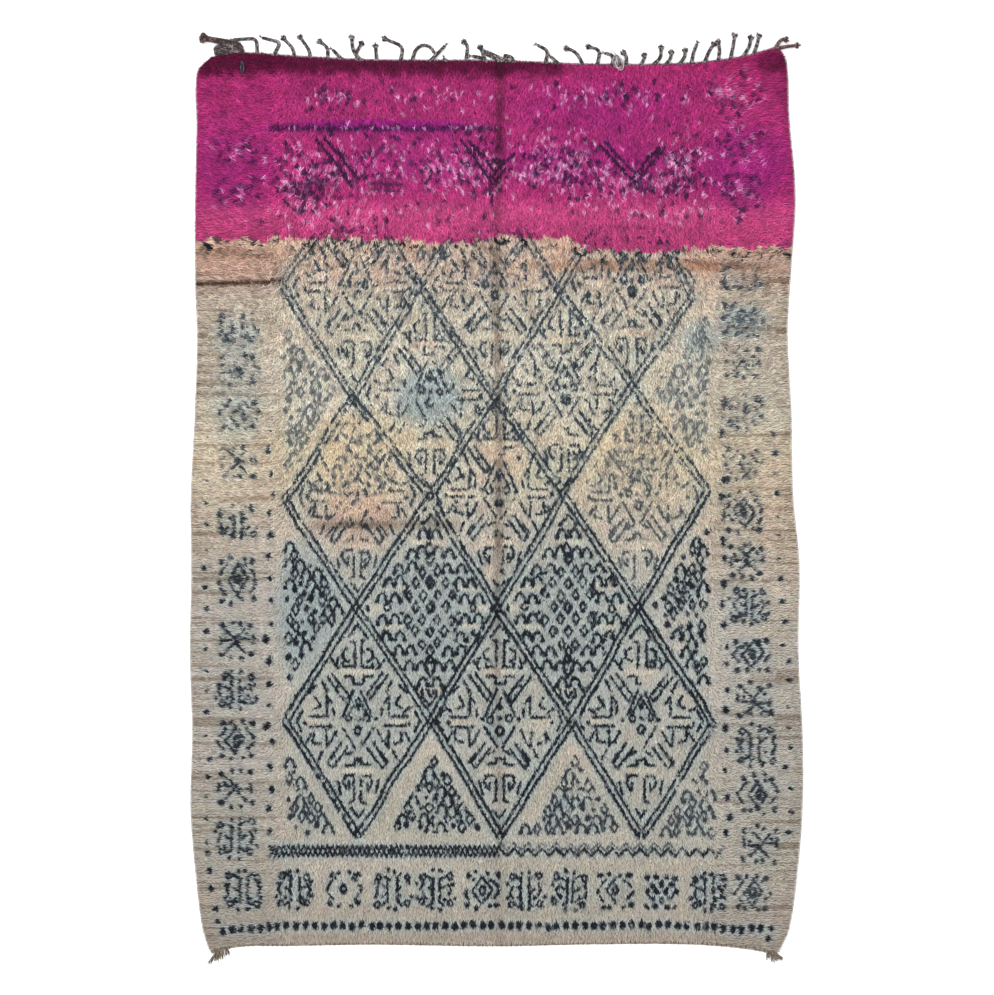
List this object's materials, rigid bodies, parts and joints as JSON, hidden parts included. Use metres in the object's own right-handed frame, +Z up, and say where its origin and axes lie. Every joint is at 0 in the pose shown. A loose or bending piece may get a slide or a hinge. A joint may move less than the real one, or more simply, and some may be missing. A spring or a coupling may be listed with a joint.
{
  "type": "knotted pile rug",
  "caption": "Hand-knotted wool rug with a diamond lattice, a magenta end and plaited warp ends along one short side, lying flat with its pile upwards.",
  "frame": {"origin": "on the floor, under the middle of the knotted field", "axes": "+X to the right across the rug, +Y along its length towards the plaited end, +Z up out of the pile"},
  "size_m": [1.9484, 2.9489, 0.0161],
  "materials": {
    "pile": "washed wool pile in cream, peach, navy and magenta",
    "plaits": "dark grey and brown plaited warp yarn",
    "goat_hair": "dark brown goat hair"
  },
  "bodies": {
    "root": {"rug_field": "pile", "top_fringe": "plaits", "corner_plait_left": "goat_hair", "corner_plait_right": "plaits", "corner_tuft_left": "goat_hair", "corner_tuft_right": "goat_hair"}
  },
  "joints": []
}
